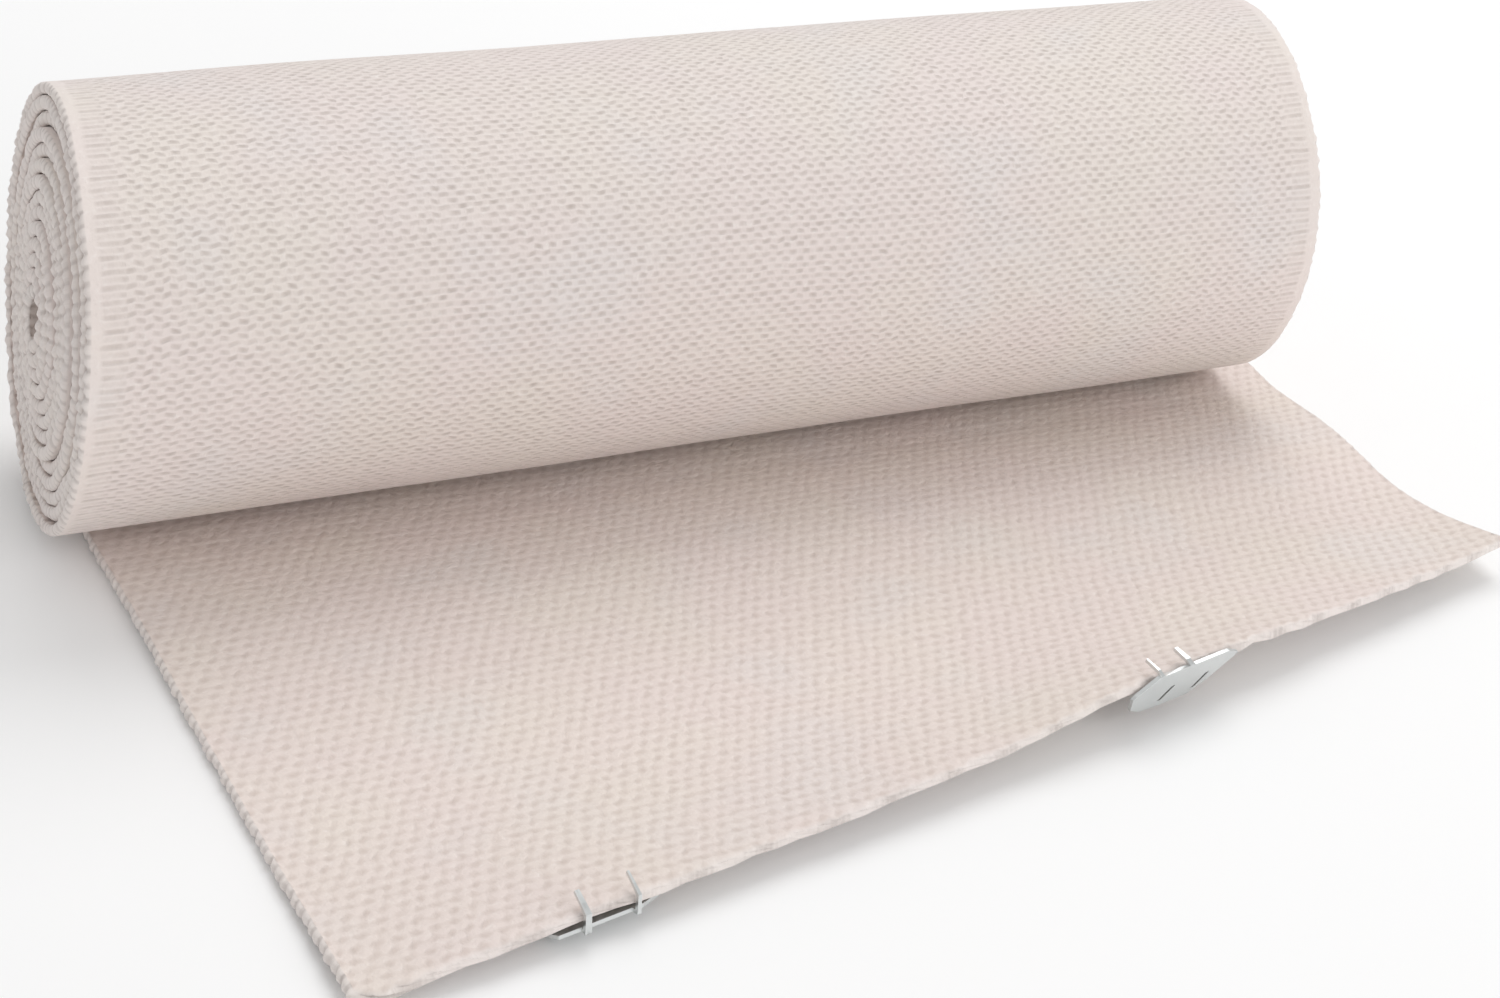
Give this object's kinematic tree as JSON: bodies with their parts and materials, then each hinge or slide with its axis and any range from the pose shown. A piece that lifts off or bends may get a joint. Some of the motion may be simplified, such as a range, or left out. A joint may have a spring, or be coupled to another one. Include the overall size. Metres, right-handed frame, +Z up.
{
  "type": "elastic bandage",
  "caption": "Wide elastic bandage wound into a roll, its free end laid out flat and fitted with small toothed metal clips.",
  "frame": {"origin": "middle of the object's footprint on the surface it lies on", "axes": "+X across the cloth, along the roll's axis; the free end points towards -Y; +Z up"},
  "size_m": [0.1576, 0.1112, 0.0485],
  "materials": {
    "bandage": "warm off-white knitted elastic cloth, matt, with a fine raised stitch",
    "clip": "thin stamped bright metal, slightly satin"
  },
  "bodies": {
    "root": {"bandage": "bandage", "clip_left": "clip", "clip_right": "clip"}
  },
  "joints": []
}
